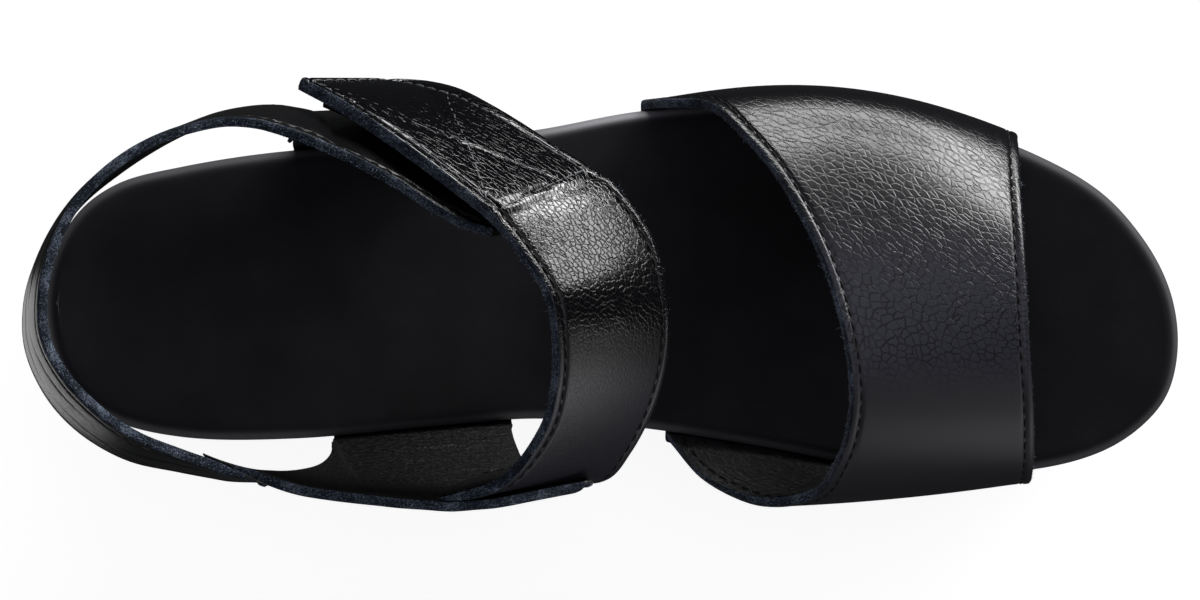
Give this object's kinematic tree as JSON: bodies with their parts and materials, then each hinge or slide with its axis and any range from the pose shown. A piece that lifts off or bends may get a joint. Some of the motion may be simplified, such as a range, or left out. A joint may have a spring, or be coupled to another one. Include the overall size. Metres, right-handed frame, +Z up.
{
  "type": "peep toe wedge sandal",
  "caption": "Left women's wedge sandal: moulded wedge sole, footbed, wide leather forefoot strap open at the toe, heel strap and an instep strap that closes with hook and loop.",
  "frame": {"origin": "centre of the sandal's box, on the floor", "axes": "+X from heel to toe, +Y to the lateral side of the left foot, +Z up"},
  "size_m": [0.2522, 0.0932, 0.1159],
  "materials": {
    "sole": "black moulded polyurethane, matte with a fine skin",
    "footbed": "black nubuck, matte",
    "strap_leather": "black pebbled full grain, satin gloss, raw cut edges",
    "fastening_tape": "black hook and loop tape"
  },
  "bodies": {
    "root": {"sole": "sole", "footbed": "footbed", "forefoot_strap": "strap_leather", "back_strap": "strap_leather", "medial_quarter": "strap_leather", "instep_strap": "strap_leather", "loop_patch": "fastening_tape", "hook_patch": "fastening_tape"}
  },
  "joints": []
}
